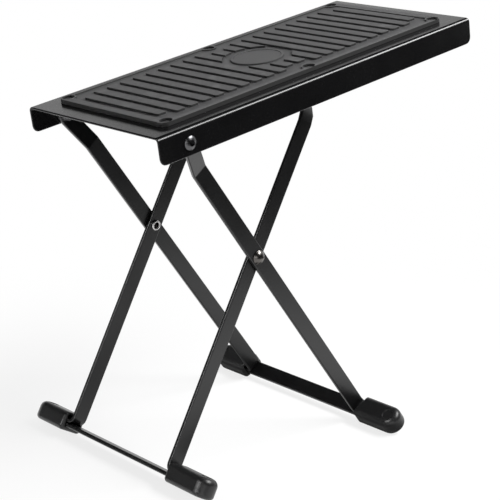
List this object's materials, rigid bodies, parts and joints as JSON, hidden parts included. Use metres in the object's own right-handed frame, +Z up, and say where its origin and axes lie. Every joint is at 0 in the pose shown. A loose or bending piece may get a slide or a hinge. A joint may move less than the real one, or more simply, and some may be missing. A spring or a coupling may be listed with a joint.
{
  "type": "folding guitar footrest",
  "caption": "Folding footrest on a scissor of flat steel strips: a folded steel plate with a ribbed rubber mat, a notched height rack below and rubber foot caps.",
  "frame": {"origin": "on the floor, under the middle of the footrest's bounds", "axes": "+X along the plate from its hinged end to its free end, +Y across it to the back, +Z up"},
  "size_m": [0.2979, 0.1966, 0.2958],
  "materials": {
    "coated_steel": "satin powder coat",
    "mat_rubber": "matte moulded",
    "foot_rubber": "matte moulded",
    "bright_steel": "dark plated",
    "black_steel": "black plated"
  },
  "bodies": {
    "outer_frame": {"outer_leg_front": "coated_steel", "outer_leg_back": "coated_steel", "outer_crossbar": "coated_steel", "foot_cap_outer_front": "foot_rubber", "crossbar_rivet_outer_front": "black_steel", "cross_rivet_front": "bright_steel", "pivot_bolt_front": "bright_steel", "pivot_washer_front": "black_steel", "pivot_nut_front": "black_steel", "foot_cap_outer_back": "foot_rubber", "crossbar_rivet_outer_back": "black_steel", "cross_rivet_back": "bright_steel", "pivot_bolt_back": "bright_steel", "pivot_washer_back": "black_steel", "pivot_nut_back": "black_steel"},
    "inner_frame": {"inner_hoop": "coated_steel", "inner_crossbar": "coated_steel", "foot_cap_inner_front": "foot_rubber", "crossbar_rivet_inner_front": "black_steel", "foot_cap_inner_back": "foot_rubber", "crossbar_rivet_inner_back": "black_steel"},
    "top": {"footplate": "coated_steel", "tread_mat": "mat_rubber", "height_rack": "coated_steel", "mat_fixing_1": "black_steel", "mat_fixing_2": "black_steel", "mat_fixing_3": "black_steel", "mat_fixing_4": "black_steel", "mat_fixing_5": "black_steel", "mat_fixing_6": "black_steel", "rack_rivet_1": "black_steel", "rack_rivet_2": "black_steel", "rack_rivet_3": "black_steel", "rack_rivet_4": "black_steel"}
  },
  "joints": [
    {"name": "leg_fold", "type": "hinge", "parent": "outer_frame", "child": "inner_frame", "pos_m": [-0.05218, 0, 0.14726], "axis": [0, 1, 0], "range_deg": [0, 114.2]},
    {"name": "plate_fold", "type": "hinge", "parent": "outer_frame", "child": "top", "pos_m": [-0.12255, 0, 0.23759], "axis": [0, 1, 0], "range_deg": [0, 58.9]}
  ],
  "couplings": [
    {"joint": "plate_fold", "follows": "leg_fold", "ratio": 0.515}
  ]
}
